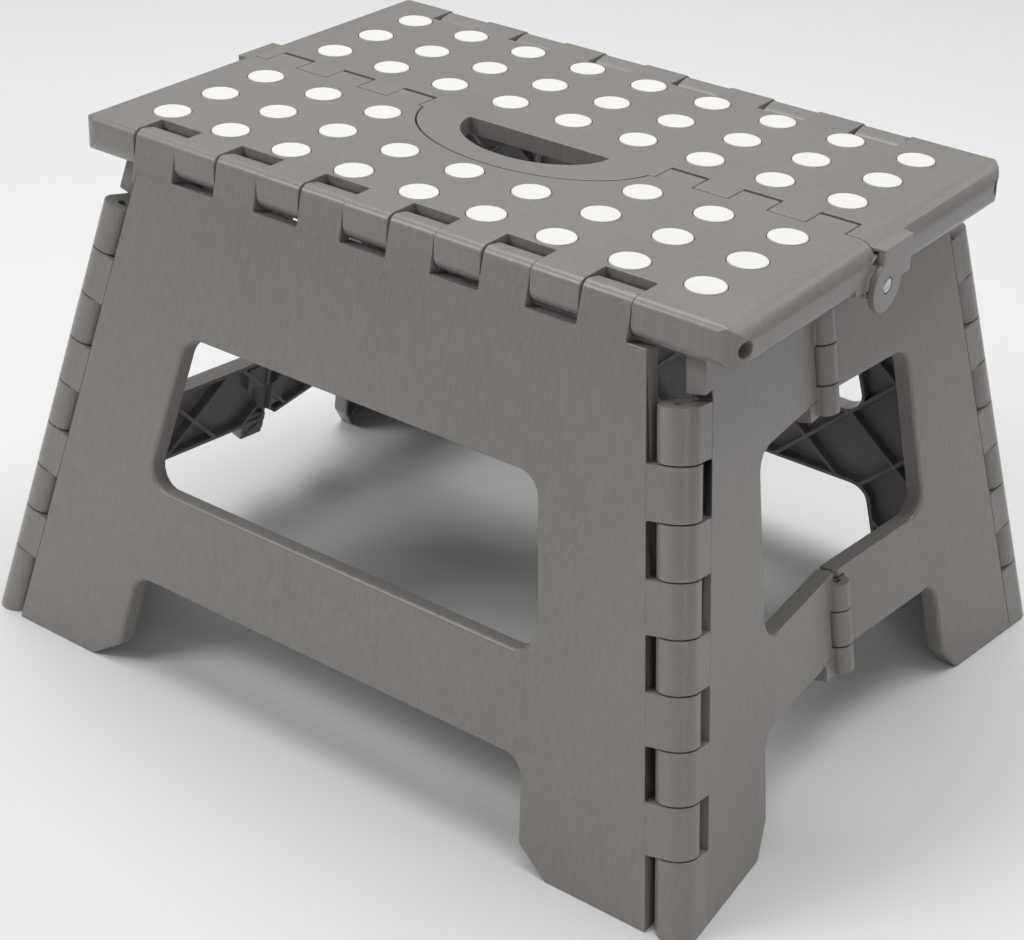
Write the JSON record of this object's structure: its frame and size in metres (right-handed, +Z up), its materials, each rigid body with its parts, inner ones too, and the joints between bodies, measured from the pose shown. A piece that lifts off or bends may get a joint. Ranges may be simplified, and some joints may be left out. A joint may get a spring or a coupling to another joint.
{
  "type": "folding step stool",
  "caption": "Grey plastic folding step stool with a carry handle, white tread dots, splayed ribbed panels and hinged end leaves.",
  "frame": {"origin": "on the floor, under the middle of the open stool", "axes": "+X along the long side, +Z up; the front panel is on -Y"},
  "size_m": [0.3374, 0.2724, 0.2093],
  "materials": {
    "grey_plastic": "satin moulded polypropylene with a fine vertical grain",
    "dot_rubber": "matt soft rubber, off-white",
    "steel_pin": "bright drawn steel wire"
  },
  "bodies": {
    "rear_panel": {"rear_panel": "grey_plastic", "rear_edge_pin": "steel_pin"},
    "rear_top": {"rear_top": "grey_plastic", "rear_tread_dots": "dot_rubber", "right_centre_pin": "steel_pin", "left_centre_pin": "steel_pin"},
    "right_rear_leaf": {"right_rear_leaf": "grey_plastic", "right_rear_corner_pin": "steel_pin"},
    "right_front_leaf": {"right_front_leaf": "grey_plastic", "right_front_corner_pin": "steel_pin", "right_upper_end_pin": "steel_pin", "right_lower_end_pin": "steel_pin"},
    "front_panel": {"front_panel": "grey_plastic", "front_edge_pin": "steel_pin"},
    "front_top": {"front_top": "grey_plastic", "front_tread_dots": "dot_rubber"},
    "left_rear_leaf": {"left_rear_leaf": "grey_plastic", "left_rear_corner_pin": "steel_pin"},
    "left_front_leaf": {"left_front_leaf": "grey_plastic", "left_front_corner_pin": "steel_pin", "left_upper_end_pin": "steel_pin", "left_lower_end_pin": "steel_pin"}
  },
  "joints": [
    {"name": "fold", "type": "hinge", "parent": "rear_panel", "child": "rear_top", "pos_m": [0, 0.08925, 0.2005], "axis": [-1, 0, 0], "range_deg": [0, 78.9]},
    {"name": "right_rear_corner", "type": "hinge", "parent": "rear_panel", "child": "right_rear_leaf", "pos_m": [0.16109, 0.12859, 0], "axis": [0.1991, 0.1887, -0.9616], "range_deg": [0, 86.24]},
    {"name": "right_end_hinge", "type": "hinge", "parent": "right_rear_leaf", "child": "right_front_leaf", "pos_m": [0.15567, 0, 0], "axis": [-0.1833, 0, 0.9831], "range_deg": [0, 168.22]},
    {"name": "right_front_corner", "type": "hinge", "parent": "right_front_leaf", "child": "front_panel", "pos_m": [0.16109, -0.12859, 0], "axis": [0.1991, -0.1887, -0.9616], "range_deg": [0, 86.24]},
    {"name": "front_edge", "type": "hinge", "parent": "front_panel", "child": "front_top", "pos_m": [0, -0.08925, 0.2005], "axis": [1, 0, 0], "range_deg": [0, 78.9]},
    {"name": "left_rear_corner", "type": "hinge", "parent": "rear_panel", "child": "left_rear_leaf", "pos_m": [-0.16109, 0.12859, 0], "axis": [0.1991, -0.1887, 0.9616], "range_deg": [0, 86.24]},
    {"name": "left_front_corner", "type": "hinge", "parent": "front_panel", "child": "left_front_leaf", "pos_m": [-0.16109, -0.12859, 0], "axis": [-0.1991, -0.1887, -0.9616], "range_deg": [0, 86.24]}
  ],
  "couplings": [
    {"joint": "right_rear_corner", "follows": "fold", "ratio": 1.093},
    {"joint": "right_end_hinge", "follows": "fold", "ratio": 2.132},
    {"joint": "right_front_corner", "follows": "fold", "ratio": 1.093},
    {"joint": "front_edge", "follows": "fold", "ratio": 1},
    {"joint": "left_rear_corner", "follows": "fold", "ratio": 1.093},
    {"joint": "left_front_corner", "follows": "fold", "ratio": 1.093}
  ]
}
